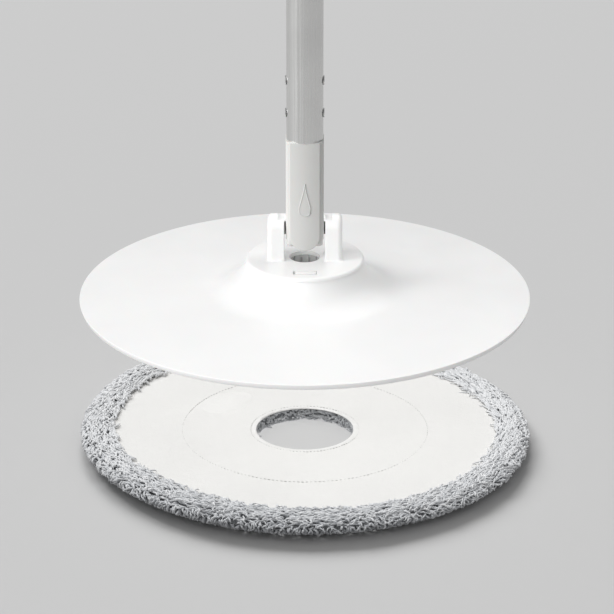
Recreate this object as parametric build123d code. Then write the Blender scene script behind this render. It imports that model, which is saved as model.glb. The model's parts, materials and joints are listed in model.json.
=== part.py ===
from build123d import *

import math
import os

# A press-to-spin flat mop. A round white disc carries a hook-backed cleaning pad. A yoke on
# the disc's hub holds the pole, which tilts about a cross pin. Pressing the grip drives a
# nut down a twisted strip inside the pole, and that turns the lower pole and the disc.
# Units are millimetres. The origin is the centre of the pad's underside, on the floor, and
# +Z runs up the pole. The pad is drawn off the disc, lying on the floor below it.

# ---------------------------------------------------------------- driving dimensions
DISC_R = 155.0
RIM_TOP = 112.5
RIM_H = 4.0
PLATE_T = 2.5
FLARE_R = 68.6
FLARE_RISE = 3.5
NECK_R = 40.2
SEAT_TOP = 137.0
RIM_DRAFT = 1.1
RIM_WALL = 3.9
RIM_EDGE = 0.4
RIBS = 12
RIB_T = 1.6
RIB_FOOT_R = 50.0
RIB_HUB_DEPTH = 9.0

CAP_R = 40.8
CAP_TOP = 139.65
CAP_EDGE = 2.2
CAP_HOLE_R = 10.55
WINDOW_X = 16.0
WINDOW_Y = 6.7
WINDOW_AT = 29.4
LATCH_GAP = 0.4
LATCH_FRONT_GAP = 1.5
LATCH_DROP = 0.15

PIVOT_Z = 162.0
EAR_IN = 14.0
EAR_OUT = 25.6
EAR_HALF_DEPTH = 9.0
EAR_ROUND = 3.4
EAR_FOOT_STEPS = ((1.3, 0.5), (0.5, 1.3))
NOTCH_Z = PIVOT_Z + 6.7
NOTCH_W = 4.6
LIP_HALF_DEPTH = 5.5
PIN_R = 3.0
WASHER_R = 5.4
WASHER_T = 0.85
WASHER_GAP = 0.1

PAD_R = 157.0
PAD_HOLE_R = 34.0
PILE_H = 8.8
BACKING_T = 1.2
BACKING_R = 136.0
FOAM_R = 128.0
FOAM_HOLE_R = 38.0
FOAM_T = 2.4
FRINGE_TOP = 12.0
FRINGE_WIDEST_Z = 6.8
FRINGE_FLOOR_R = 144.0

HOOK_T = 2.5
HOOK_RINGS = {"hook_ring_inner": (60.0, 76.0), "hook_ring_outer": (114.0, 136.0)}

SCREW_X = 19.8
SCREW_Y = 5.2
SCREW_R = 1.5
SCREW_DEPTH = 10.0
SCREW_HEAD_R = 2.9
SCREW_HEAD_T = 2.0

TEETH = 12
TEETH_START = 12.6
TEETH_R = 10.9
TEETH_OUT = 13.2
TEETH_FOOT = 128.0
TOOTH_SLOT = 1.5
SPINDLE_BORE_R = 7.05
SOCKET_BOTTOM = 112.0
SOCKET_FOOT_R = 12.0
FLANGE_R = 31.0
FLANGE_T = 2.5

POLE_HALF_W = 12.9
TONGUE_HALF_W = 10.4
TONGUE_FRONT = 12.2
TONGUE_BOTTOM = 148.4
TONGUE_EDGE = 0.7
BODY_BOTTOM = 150.5
BODY_DEPTH = 21.3
BODY_CENTRE_Y = 0.85
BODY_CORNER = 3.6
BODY_FOOT_EDGE = 2.4
BODY_WAIST_CUT = 0.65
CONNECTOR_TOP = 226.0
CONNECTOR_HOLLOW_R = 7.5
CONNECTOR_HOLLOW_Z = 186.0
SPIGOT_TOP = 262.0
CROWN_R = 40.0
DROP_RISE = 0.3
DROP_HALF_W = 3.75
DROP_LOW = 174.0
DROP_WIDE_Z = 179.6
DROP_TIP = 197.2

LOWER_R = 12.5
UPPER_R = 11.0
TUBE_T = 0.8
LOWER_TOP = 800.0
UPPER_BOTTOM = 419.0
UPPER_TOP = 1278.0
RIVET_R = 2.0
RIVET_HEAD_R = 3.2
RIVET_HEAD_T = 0.6
RIVET_FIT = 0.02
CONNECTOR_RIVET_Z = 244.0
ANCHOR_RIVET_Z = 267.0
ANCHOR_TOP = 284.0
CAP_SCREW_Z = UPPER_TOP - 14.0
CAP_SCREW_R = 1.2

STRIP_W = 9.0
STRIP_T = 2.6
STRIP_LEAD = 80.0
STRIP_BOTTOM = 272.5
STRIP_TOP = 452.0
SLOT_GAP = 0.35
SLIDE_GAP = 0.3
FIT_GAP = 0.05

NUT_BOTTOM = 425.0
NUT_H = 8.0
NUT_R = 7.2
NUT_TEETH = 8
NUT_TOOTH_H = 0.9
NUT_EYE_R = 5.6
HOUSING_LIP = 6.0
HOUSING_TOP = 443.0
PAWL_OUT = 8.4
SPRING_T = 0.6
RETAINER_H = 3.0

COLLAR_R = 15.0
COLLAR_BOTTOM = 772.0
COLLAR_TOP = 803.0
GROOVE_R = 13.7
GROOVE_LOW = 783.0
GROOVE_TOP = 789.0
SWIVEL_R = 18.0
SWIVEL_NECK_R = 16.4
SWIVEL_SHOULDER_Z = 804.0
SWIVEL_NECK_Z = 812.0
SWIVEL_TOP = 850.0
CLAMP_SLOT_Z = 815.0
BEAD_GAP = 0.3
BEAD_PLAY = 0.4
LEVER_Y = -20.6
LEVER_Z = 838.0
LEVER_PIN_R = 1.5
LEVER_HALF_W = 4.8
LEVER_HUB_R = 3.5
LUG_IN = 5.1
LUG_OUT = 8.1
LUG_R = 4.0

GRIP_R = 15.5
GRIP_BOTTOM = 1118.0
GRIP_WAIST = 1.3
GRIP_GROOVES = 13
GROOVE_PITCH = 9.0
GROOVE_FIRST = 1142.0
GROOVE_W = 1.6
GROOVE_DEPTH = 1.9
FERRULE_H = 9.0
DOME_TOP = 1301.0
EYE_Z = 1314.0
EYE_R = 5.0
EYE_TAB_R = 11.5
EYE_TAB_T = 8.0
SPIGOT_DEPTH = 28.0
SPIGOT_BORE = 7.5

# ---------------------------------------------------------------- small helpers
RIM_BOTTOM = RIM_TOP - RIM_H
SEAT_BOTTOM = SEAT_TOP - PLATE_T
FLARE_Z = RIM_TOP + FLARE_RISE
LOWER_BORE = LOWER_R - TUBE_T
UPPER_BORE = UPPER_R - TUBE_T


def turned(*edges):
    """The solid of revolution of a closed outline drawn as (radius, height)."""
    return revolve(Plane.XZ * make_face(Curve() + list(edges)), Axis.Z)


def ring_of(points):
    """A solid of revolution whose outline is a closed polygon of (radius, height)."""
    return turned(Polyline(*points, close=True))


def tube(outer, inner, bottom, top):
    """A plain round tube, or a rod if inner is 0."""
    height = top - bottom
    body = Pos(0, 0, bottom + height / 2) * Cylinder(outer, height)
    if inner:
        body -= Pos(0, 0, bottom + height / 2) * Cylinder(inner, height + 1)
    return body


def block(x0, x1, y0, y1, z0, z1):
    """A box between two corners."""
    centre = Pos((x0 + x1) / 2, (y0 + y1) / 2, (z0 + z1) / 2)
    return centre * Box(x1 - x0, y1 - y0, z1 - z0)


def rod_x(radius, x0, x1, y, z):
    """A round rod along X."""
    return Pos((x0 + x1) / 2, y, z) * Rot(0, 90, 0) * Cylinder(radius, x1 - x0)


def screw_places():
    """The four screws that rise into the feet of the ears, two to each ear."""
    return [Pos(x, y, 0) for x in (-SCREW_X, SCREW_X) for y in (-SCREW_Y, SCREW_Y)]


def twisted_bar(width, thick, bottom, top):
    """A flat bar twisted about Z, in phase with every other bar made by this function."""
    turn = 360.0 * (top - bottom) / STRIP_LEAD
    phase = 360.0 * bottom / STRIP_LEAD
    section = Rot(0, 0, phase) * Rectangle(width, thick)
    face = Pos(0, 0, bottom) * section
    return Solid.extrude_linear_with_rotation(
        face.face(), (0, 0, bottom), (0, 0, top - bottom), turn
    )


# ---------------------------------------------------------------- head
def hub_profile(drop):
    """The disc's upper line from rim to neck, lowered by drop: a shallow cone, then a flare."""
    slope = FLARE_RISE / (DISC_R - FLARE_R)
    outer = (DISC_R - 0.7 - drop, RIM_TOP - drop)
    foot = (FLARE_R + 0.1 * drop, FLARE_Z - drop)
    neck = (NECK_R - 0.95 * drop, SEAT_TOP - drop)
    cone = Line(outer, foot)
    flare = TangentArc(foot, neck, tangent=(-1, slope))
    return outer, cone, flare, neck


def disc_shell():
    """The round plate with its rim, its flared hub and the flat seat for the yoke cap."""
    outer, cone, flare, neck = hub_profile(0.0)
    inner_outer, under_cone, under_flare, under_neck = hub_profile(PLATE_T)
    lip_r = DISC_R - RIM_WALL
    foot_r = DISC_R - RIM_DRAFT
    seat_bore = TEETH_OUT + 0.2
    lip_top = under_cone.position_at((inner_outer[0] - lip_r) / (inner_outer[0] - FLARE_R))
    trimmed = Line((lip_r, lip_top.Y), under_cone.position_at(1))
    return turned(
        cone,
        flare,
        Line(neck, (seat_bore, SEAT_TOP)),
        Line((seat_bore, SEAT_TOP), (seat_bore, SEAT_BOTTOM)),
        Line((seat_bore, SEAT_BOTTOM), under_neck),
        under_flare,
        trimmed,
        Line((lip_r, lip_top.Y), (lip_r, RIM_BOTTOM)),
        Line((lip_r, RIM_BOTTOM), (foot_r - RIM_EDGE, RIM_BOTTOM)),
        Line((foot_r - RIM_EDGE, RIM_BOTTOM), (foot_r, RIM_BOTTOM + RIM_EDGE)),
        Line((foot_r, RIM_BOTTOM + RIM_EDGE), (DISC_R, RIM_TOP - 0.5)),
        ThreePointArc((DISC_R, RIM_TOP - 0.5), (DISC_R - 0.2, RIM_TOP - 0.12), outer),
    )


def disc_ribs():
    """Radial gussets and the round lands for the hook tape, under the disc."""
    outer, cone, flare, neck = hub_profile(PLATE_T / 2)
    fill = turned(
        Line((outer[0], RIM_BOTTOM), outer),
        cone,
        flare,
        Line(neck, (neck[0], SEAT_TOP - RIB_HUB_DEPTH)),
        Line((neck[0], SEAT_TOP - RIB_HUB_DEPTH), (RIB_FOOT_R, RIM_BOTTOM)),
        Line((RIB_FOOT_R, RIM_BOTTOM), (outer[0], RIM_BOTTOM)),
    )
    bars = [
        Rot(0, 0, 360.0 / RIBS * i) * block(20, DISC_R, -RIB_T / 2, RIB_T / 2, 100, SEAT_TOP)
        for i in range(RIBS)
    ]
    for inner, wide in HOOK_RINGS.values():
        bars.append(tube(inner + RIB_T, inner, 100, SEAT_TOP))
        bars.append(tube(wide, wide - RIB_T, 100, SEAT_TOP))
    kept = [fill & bar for bar in bars]
    return kept[0].fuse(*kept[1:])


def cap_latches():
    """Two snap tongues that rise from the seat into the windows of the yoke cap."""
    low_x = -WINDOW_X / 2 + LATCH_FRONT_GAP
    high_x = WINDOW_X / 2 - LATCH_GAP
    low_y = -WINDOW_AT - WINDOW_Y / 2 + LATCH_FRONT_GAP
    high_y = -WINDOW_AT + WINDOW_Y / 2 - LATCH_GAP
    front = block(low_x, high_x, low_y, high_y, SEAT_BOTTOM, CAP_TOP - LATCH_DROP)
    return front + mirror(front, Plane.XZ)


def mop_disc():
    """The whole round plate, with its ribs, snap tongues and screw holes."""
    body = disc_shell() + disc_ribs() + cap_latches()
    for place in screw_places():
        body -= place * tube(SCREW_R + 0.2, 0, SEAT_BOTTOM - 5, SEAT_TOP + 1)
    return body


def ear(side):
    """One upright of the yoke, with its spring lip and the notch behind it."""
    x0, x1 = sorted((side * EAR_IN, side * EAR_OUT))
    depth = EAR_HALF_DEPTH
    body = block(x0, x1, -depth, depth, SEAT_TOP, PIVOT_Z)
    body += rod_x(depth, x0, x1, 0, PIVOT_Z)
    for round_r, face in ((EAR_ROUND, side > 0), (0.6, side < 0)):
        wall = body.faces().filter_by(Axis.X).sort_by(Axis.X)[-1 if face else 0]
        rim = [e for e in wall.edges() if e.center().Z > SEAT_TOP + 1]
        body = fillet(rim, round_r)
    notch_low, notch_high = sorted((side * (EAR_IN - 0.1), side * (EAR_IN + NOTCH_W)))
    body -= block(notch_low, notch_high, -depth - 1, depth + 1, NOTCH_Z, PIVOT_Z + 12)
    lip_low, lip_high = sorted((side * (POLE_HALF_W + 0.2), side * EAR_IN))
    lip = rod_x(depth - 0.5, lip_low, lip_high, 0, PIVOT_Z)
    lip_z = PIVOT_Z + WASHER_R + 0.3
    lip &= block(lip_low, lip_high, -LIP_HALF_DEPTH, LIP_HALF_DEPTH, lip_z, PIVOT_Z + 12)
    foot_x, foot_w = side * (EAR_IN + EAR_OUT) / 2, EAR_OUT - EAR_IN
    for spread, height in EAR_FOOT_STEPS:
        section = RectangleRounded(foot_w + 2 * spread, 2 * depth + 2 * spread, 2.6)
        taper = math.degrees(math.atan(spread / height))
        body += Pos(foot_x, 0, CAP_TOP) * extrude(section, height, taper=taper)
    return body + lip


def cap_plate():
    """The round cap that carries the ears, with its rounded edge."""
    return turned(
        Line((CAP_HOLE_R, CAP_TOP), (CAP_R - CAP_EDGE, CAP_TOP)),
        RadiusArc((CAP_R - CAP_EDGE, CAP_TOP), (CAP_R, CAP_TOP - CAP_EDGE), CAP_EDGE),
        Line((CAP_R, CAP_TOP - CAP_EDGE), (CAP_R, SEAT_TOP)),
        Line((CAP_R, SEAT_TOP), (CAP_HOLE_R, SEAT_TOP)),
        Line((CAP_HOLE_R, SEAT_TOP), (CAP_HOLE_R, CAP_TOP)),
    )


def yoke_cap():
    """The cap with both ears, its two snap windows, the screw holes and the pin hole."""
    body = cap_plate() + ear(1) + ear(-1)
    for side in (-1, 1):
        low = side * WINDOW_AT - WINDOW_Y / 2
        body -= block(-WINDOW_X / 2, WINDOW_X / 2, low, low + WINDOW_Y, 130, CAP_TOP + 1)
    for place in screw_places():
        body -= place * tube(SCREW_R + 0.03, 0, SEAT_TOP - 1, SEAT_TOP + SCREW_DEPTH + 0.5)
    return body - rod_x(PIN_R + 0.02, -30, 30, 0, PIVOT_Z)


def spindle_socket():
    """The grey insert that a wringer's spindle enters from below, crowned with drive teeth."""
    flange_bottom = SEAT_BOTTOM - FLANGE_T
    body = ring_of(
        [
            (SPINDLE_BORE_R, SOCKET_BOTTOM),
            (SOCKET_FOOT_R, SOCKET_BOTTOM),
            (TEETH_OUT, TEETH_FOOT - 2.0),
            (TEETH_OUT, flange_bottom),
            (FLANGE_R, flange_bottom),
            (FLANGE_R, SEAT_BOTTOM),
            (TEETH_OUT, SEAT_BOTTOM),
            (TEETH_OUT, SEAT_TOP),
            (TEETH_R, SEAT_TOP),
            (TEETH_R, TEETH_FOOT),
            (SPINDLE_BORE_R, TEETH_FOOT),
        ]
    )
    step = 360.0 / TEETH
    half = TOOTH_SLOT / 2
    for i in range(TEETH):
        slot = block(TEETH_R - 1, TEETH_OUT - 0.5, -half, half, TEETH_FOOT + 1.0, SEAT_TOP + 1)
        body -= Rot(0, 0, TEETH_START + step * i) * slot
    for place in screw_places():
        body -= place * tube(SCREW_R + 0.2, 0, flange_bottom - 1, SEAT_BOTTOM + 1)
    return body


def hub_screws():
    """Four pan-head screws that clamp the socket, the disc and the cap together."""
    head_top = SEAT_BOTTOM - FLANGE_T
    slot_x, slot_y = 1.8, 0.4
    slot_low, slot_top = head_top - SCREW_HEAD_T - 1, head_top - 1.1
    screws = []
    for place in screw_places():
        head = tube(SCREW_HEAD_R, 0, head_top - SCREW_HEAD_T, head_top)
        head -= block(-slot_x, slot_x, -slot_y, slot_y, slot_low, slot_top)
        head -= block(-slot_y, slot_y, -slot_x, slot_x, slot_low, slot_top)
        screws.append(place * (head + tube(SCREW_R, 0, head_top, SEAT_TOP + SCREW_DEPTH)))
    return Compound(children=screws)


def hook_ring(name):
    """A flat ring of hook tape stuck to its lands under the disc."""
    inner, outer = HOOK_RINGS[name]
    return tube(outer, inner, RIM_BOTTOM - HOOK_T, RIM_BOTTOM)


def pivot_pin():
    """The cross pin that the pole tilts about."""
    end = EAR_OUT - 0.4
    pin = rod_x(PIN_R, -end, end, 0, PIVOT_Z)
    return chamfer(pin.edges().filter_by(GeomType.CIRCLE), 0.4)


def pivot_washers():
    """Dark friction washers that pinch the connector between the ears."""
    face = EAR_IN - WASHER_GAP
    one = rod_x(WASHER_R, face - WASHER_T, face, 0, PIVOT_Z)
    one -= rod_x(PIN_R + 0.03, 0, 30, 0, PIVOT_Z)
    return Compound(children=[one, mirror(one, Plane.YZ)])


# ---------------------------------------------------------------- pad
def pad_pile():
    """Chenille pile under the backing, with a thicker roll of it round the outside."""
    wall_r = PAD_HOLE_R + 0.5
    edge_r = BACKING_R + 0.3
    shoulder_r = PAD_R - 10.0
    foam_z = PILE_H - FOAM_T
    return turned(
        Line((wall_r, 0), (FRINGE_FLOOR_R, 0)),
        ThreePointArc((FRINGE_FLOOR_R, 0), (PAD_R - 5.6, 2.4), (PAD_R, FRINGE_WIDEST_Z)),
        TangentArc((shoulder_r, FRINGE_TOP), (PAD_R, FRINGE_WIDEST_Z), tangent=(1, 0)),
        Line((shoulder_r, FRINGE_TOP), (BACKING_R + 4.0, FRINGE_TOP)),
        Line((BACKING_R + 4.0, FRINGE_TOP), (edge_r, 10.6)),
        Line((edge_r, 10.6), (edge_r, PILE_H)),
        Line((edge_r, PILE_H), (FOAM_R, PILE_H)),
        Line((FOAM_R, PILE_H), (FOAM_R, foam_z)),
        Line((FOAM_R, foam_z), (FOAM_HOLE_R, foam_z)),
        Line((FOAM_HOLE_R, foam_z), (FOAM_HOLE_R, PILE_H)),
        Line((FOAM_HOLE_R, PILE_H), (wall_r, PILE_H)),
        Line((wall_r, PILE_H), (wall_r, 0)),
    )


def pad_foam():
    """The thin foam core, sunk into the pile under the backing."""
    return tube(FOAM_R - 0.1, FOAM_HOLE_R + 0.1, PILE_H - FOAM_T, PILE_H)


def pad_backing():
    """The loop fabric that the hook tape grips."""
    return tube(BACKING_R, PAD_HOLE_R, PILE_H, PILE_H + BACKING_T)


# ---------------------------------------------------------------- lower pole
def drop_outline():
    """A plain water drop, point up, as a face in the XZ plane."""
    wide = DROP_HALF_W
    low_z = DROP_WIDE_Z + 5.4
    high_z = DROP_TIP - 7.2
    left = Bezier((-wide, DROP_WIDE_Z), (-2.7, low_z), (-0.7, high_z), (0, DROP_TIP))
    right = Bezier((wide, DROP_WIDE_Z), (2.7, low_z), (0.7, high_z), (0, DROP_TIP))
    bowl = ThreePointArc((-wide, DROP_WIDE_Z), (0, DROP_LOW), (wide, DROP_WIDE_Z))
    return make_face(Curve() + [left, right, bowl])


def tongue():
    """The crowned front panel of the connector, which ends in a half circle."""
    arc_z = TONGUE_BOTTOM + TONGUE_HALF_W
    half = TONGUE_HALF_W
    outline = make_face(
        Curve()
        + [
            Line((-half, arc_z), (-half, CONNECTOR_TOP)),
            Line((-half, CONNECTOR_TOP), (half, CONNECTOR_TOP)),
            Line((half, CONNECTOR_TOP), (half, arc_z)),
            ThreePointArc((-half, arc_z), (0, TONGUE_BOTTOM), (half, arc_z)),
        ]
    )
    slab = Pos(0, -5, 0) * extrude(Plane.XZ * outline, 12)
    crown_axis = CROWN_R - TONGUE_FRONT
    middle = Pos(0, crown_axis, (TONGUE_BOTTOM + CONNECTOR_TOP) / 2)
    crown = middle * Cylinder(CROWN_R, CONNECTOR_TOP - TONGUE_BOTTOM + 2)
    body = slab & crown
    front = body.faces().filter_by(GeomType.CYLINDER).sort_by(Axis.Y)[0]
    rim = [e for e in front.edges() if e.center().Z < CONNECTOR_TOP - 0.1]
    body = fillet(rim, TONGUE_EDGE)
    raised = Pos(0, -5, 0) * extrude(Plane.XZ * drop_outline(), 12)
    raised &= middle * Cylinder(CROWN_R + DROP_RISE, CONNECTOR_TOP - TONGUE_BOTTOM + 2)
    return body + raised


def connector_body():
    """The block behind the tongue, with rounded corners, narrowed at its lower end."""
    wide = POLE_HALF_W
    section = RectangleRounded(2 * wide, BODY_DEPTH, BODY_CORNER)
    body = Pos(0, BODY_CENTRE_Y, BODY_BOTTOM) * extrude(section, CONNECTOR_TOP - BODY_BOTTOM)
    body = fillet(body.edges().group_by(Axis.Z)[0], BODY_FOOT_EDGE)
    for side in (-1, 1):
        x0, x1 = sorted((side * (wide - BODY_WAIST_CUT), side * (wide + 1)))
        body -= block(x0, x1, -15, 15, 140, PIVOT_Z - 6.5)
    top = body.edges().group_by(Axis.Z)[-1]
    return chamfer(top, 0.6)


def rivet_hole(height):
    """What a rivet's hole takes out of every part it passes through."""
    return rod_x(RIVET_R + RIVET_FIT, -20, 20, 0, height)


def connector():
    """The pole's grey foot: it tilts on the pin, and its hollow spigot fills the lower tube."""
    body = connector_body() + tongue()
    body += tube(LOWER_BORE - 0.1, 0, CONNECTOR_TOP - 1, SPIGOT_TOP)
    body -= tube(CONNECTOR_HOLLOW_R, 0, CONNECTOR_HOLLOW_Z, SPIGOT_TOP + 1)
    body -= rod_x(PIN_R + 0.06, -20, 20, 0, PIVOT_Z)
    return body - rivet_hole(CONNECTOR_RIVET_Z)


def lower_tube():
    """The outer tube of the telescopic pole."""
    body = tube(LOWER_R, LOWER_BORE, CONNECTOR_TOP, LOWER_TOP)
    for height in (CONNECTOR_RIVET_Z, ANCHOR_RIVET_Z):
        body -= rivet_hole(height)
    return body


def tube_rivets():
    """Two rivets that hold the lower tube to the connector and to the strip's anchor."""
    rivets = []
    shoulder = LOWER_R + 0.1
    for height in (CONNECTOR_RIVET_Z, ANCHOR_RIVET_Z):
        body = rod_x(RIVET_R, -shoulder, shoulder, 0, height)
        for side in (-1, 1):
            x0, x1 = sorted((side * shoulder, side * (shoulder + RIVET_HEAD_T)))
            body += rod_x(RIVET_HEAD_R, x0, x1, 0, height)
        rivets.append(body)
    return Compound(children=rivets)


def strip_anchor():
    """The plug in the lower tube that grips the foot of the twisted strip."""
    body = tube(LOWER_BORE - 0.1, 0, SPIGOT_TOP, ANCHOR_TOP) - rivet_hole(ANCHOR_RIVET_Z)
    return body - twisted_bar(STRIP_W + 0.1, STRIP_T + 0.1, STRIP_BOTTOM, ANCHOR_TOP + 6)


def drive_strip():
    """The twisted steel strip that turns pressing into spinning."""
    return twisted_bar(STRIP_W, STRIP_T, STRIP_BOTTOM, STRIP_TOP)


def tube_collar():
    """The fixed ring at the lower tube's mouth, grooved for the swivel collar's bead."""
    bore = UPPER_R + SLIDE_GAP
    return ring_of(
        [
            (LOWER_R + FIT_GAP, COLLAR_BOTTOM),
            (COLLAR_R, COLLAR_BOTTOM + 2.0),
            (COLLAR_R, GROOVE_LOW),
            (GROOVE_R, GROOVE_LOW),
            (GROOVE_R, GROOVE_TOP),
            (COLLAR_R, GROOVE_TOP),
            (COLLAR_R, COLLAR_TOP),
            (bore, COLLAR_TOP),
            (bore, LOWER_TOP + 0.1),
            (LOWER_R + FIT_GAP, LOWER_TOP + 0.1),
        ]
    )


# ---------------------------------------------------------------- swivel collar and lever
def swivel_collar():
    """The lock housing: a bead that turns in the collar's groove, a split neck and two lugs."""
    bore = UPPER_R + SLIDE_GAP
    bead_r = GROOVE_R + BEAD_GAP
    skirt_r = COLLAR_R + BEAD_GAP
    low_z = GROOVE_LOW + BEAD_PLAY
    bead_z = GROOVE_TOP - BEAD_PLAY
    shelf_z = COLLAR_TOP + BEAD_PLAY
    edge = 2.0
    shell = turned(
        Line((bead_r, low_z), (SWIVEL_R - 1.0, low_z)),
        Line((SWIVEL_R - 1.0, low_z), (SWIVEL_R, low_z + 1.6)),
        Line((SWIVEL_R, low_z + 1.6), (SWIVEL_R, SWIVEL_SHOULDER_Z)),
        Line((SWIVEL_R, SWIVEL_SHOULDER_Z), (SWIVEL_NECK_R, SWIVEL_NECK_Z)),
        Line((SWIVEL_NECK_R, SWIVEL_NECK_Z), (SWIVEL_NECK_R, SWIVEL_TOP - edge)),
        RadiusArc((SWIVEL_NECK_R, SWIVEL_TOP - edge), (SWIVEL_NECK_R - edge, SWIVEL_TOP), -edge),
        Line((SWIVEL_NECK_R - edge, SWIVEL_TOP), (bore, SWIVEL_TOP)),
        Line((bore, SWIVEL_TOP), (bore, shelf_z)),
        Line((bore, shelf_z), (skirt_r, shelf_z)),
        Line((skirt_r, shelf_z), (skirt_r, bead_z)),
        Line((skirt_r, bead_z), (bead_r, bead_z)),
        Line((bead_r, bead_z), (bead_r, low_z)),
    )
    for side in (-1, 1):
        x0, x1 = sorted((side * LUG_IN, side * LUG_OUT))
        lug = block(x0, x1, LEVER_Y, -13.0, LEVER_Z - LUG_R, LEVER_Z + LUG_R)
        shell += lug + rod_x(LUG_R, x0, x1, LEVER_Y, LEVER_Z)
    shell -= block(-0.9, 0.9, -30, -5, CLAMP_SLOT_Z, SWIVEL_TOP + 10)
    shell -= tube(bore, 0, SWIVEL_SHOULDER_Z, SWIVEL_TOP + 2)
    return shell - rod_x(LEVER_PIN_R + 0.01, -12, 12, LEVER_Y, LEVER_Z)


def lever_pin():
    """The pin through both lugs and the lever."""
    return rod_x(LEVER_PIN_R, -LUG_OUT, LUG_OUT, LEVER_Y, LEVER_Z)


def lock_lever():
    """The clamp's cam lever, closed, lying down the front of the swivel collar."""
    back = LEVER_Y + 1.5
    outline = make_face(
        Polyline(
            (LEVER_Y - 3.4, LEVER_Z),
            (LEVER_Y - 4.6, LEVER_Z - 14),
            (LEVER_Y - 3.4, LEVER_Z - 36),
            (LEVER_Y - 5.4, LEVER_Z - 51),
            (LEVER_Y - 2.8, LEVER_Z - 52),
            (back - 1.4, LEVER_Z - 36),
            (back - 1.4, LEVER_Z - 14),
            (back, LEVER_Z),
            close=True,
        )
    )
    half = LEVER_HALF_W
    arm = Pos(-half, 0, 0) * extrude(Plane.YZ * outline, 2 * half)
    body = arm + rod_x(LEVER_HUB_R, -half, half, LEVER_Y, LEVER_Z)
    body -= rod_x(LEVER_PIN_R + 0.05, -12, 12, LEVER_Y, LEVER_Z)
    return body


# ---------------------------------------------------------------- upper pole
def cap_screw_hole():
    """What the end cap's screw takes out of the upper tube and the cap's spigot."""
    return rod_x(CAP_SCREW_R + RIVET_FIT, 5, 20, 0, CAP_SCREW_Z)


def upper_tube():
    """The inner tube of the telescopic pole."""
    return tube(UPPER_R, UPPER_BORE, UPPER_BOTTOM, UPPER_TOP) - cap_screw_hole()


def nut_housing():
    """The sleeve in the upper tube's foot that holds the nut and guides the tube's end."""
    body = ring_of(
        [
            (NUT_EYE_R, UPPER_BOTTOM - HOUSING_LIP),
            (LOWER_BORE - SLIDE_GAP, UPPER_BOTTOM - HOUSING_LIP),
            (LOWER_BORE - SLIDE_GAP, UPPER_BOTTOM),
            (UPPER_BORE - FIT_GAP, UPPER_BOTTOM),
            (UPPER_BORE - FIT_GAP, HOUSING_TOP),
            (NUT_R + 0.3, HOUSING_TOP),
            (NUT_R + 0.3, NUT_BOTTOM),
            (NUT_EYE_R, NUT_BOTTOM),
        ]
    )
    for side in (-1, 1):
        low, high = sorted((side * 6.0, side * 9.2))
        body -= block(low, high, -1.6, 1.6, NUT_BOTTOM, NUT_BOTTOM + NUT_H)
    return body


def drive_nut():
    """A ratchet wheel with a twisted slot that rides on the drive strip."""
    step = 2 * math.pi / NUT_TEETH
    points = []
    for i in range(NUT_TEETH):
        points.append((NUT_R * math.cos(i * step), NUT_R * math.sin(i * step)))
        root = (i + 0.92) * step
        points.append(((NUT_R - NUT_TOOTH_H) * math.cos(root), (NUT_R - NUT_TOOTH_H) * math.sin(root)))
    section = make_face(Polyline(*points, close=True))
    wheel = Pos(0, 0, NUT_BOTTOM + FIT_GAP) * extrude(section, NUT_H)
    slot = twisted_bar(
        STRIP_W + 2 * SLOT_GAP, STRIP_T + 2 * SLOT_GAP, NUT_BOTTOM - 2, NUT_BOTTOM + NUT_H + 2
    )
    return wheel - slot


def ratchet_pawls():
    """Two pawls that catch the nut's teeth, one each side."""
    one = block(NUT_R + 0.35, PAWL_OUT, -1.4, 1.4, NUT_BOTTOM + 0.5, NUT_BOTTOM + NUT_H - 0.5)
    return Compound(children=[one, mirror(one, Plane.YZ)])


def pawl_springs():
    """Small leaf springs behind the pawls."""
    low = PAWL_OUT + 0.1
    one = block(low, low + SPRING_T, -1.5, 1.5, NUT_BOTTOM + 1, NUT_BOTTOM + NUT_H - 1)
    return Compound(children=[one, mirror(one, Plane.YZ)])


def nut_retainer():
    """The cover pressed in over the nut."""
    low = NUT_BOTTOM + NUT_H + 0.2
    return tube(NUT_R + 0.25, NUT_EYE_R, low, low + RETAINER_H)


def grip_ring():
    """The ferrule below the hand grip."""
    return ring_of(
        [
            (UPPER_R + 0.02, GRIP_BOTTOM - FERRULE_H),
            (UPPER_R + 1.4, GRIP_BOTTOM - FERRULE_H),
            (GRIP_R - 0.3, GRIP_BOTTOM - 5),
            (GRIP_R - 0.3, GRIP_BOTTOM),
            (UPPER_R + 0.02, GRIP_BOTTOM),
        ]
    )


def hand_grip():
    """A soft sleeve with a slight waist and shallow finger rings."""
    bore = UPPER_R + 0.02
    waist_z = (GRIP_BOTTOM + UPPER_TOP) / 2
    body = turned(
        Line((bore, GRIP_BOTTOM), (GRIP_R, GRIP_BOTTOM)),
        ThreePointArc((GRIP_R, GRIP_BOTTOM), (GRIP_R - GRIP_WAIST, waist_z), (GRIP_R, UPPER_TOP)),
        Line((GRIP_R, UPPER_TOP), (bore, UPPER_TOP)),
        Line((bore, UPPER_TOP), (bore, GRIP_BOTTOM)),
    )
    for i in range(GRIP_GROOVES):
        low = GROOVE_FIRST + GROOVE_PITCH * i
        body -= tube(GRIP_R + 5, GRIP_R - GROOVE_DEPTH, low, low + GROOVE_W)
    return body


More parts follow.
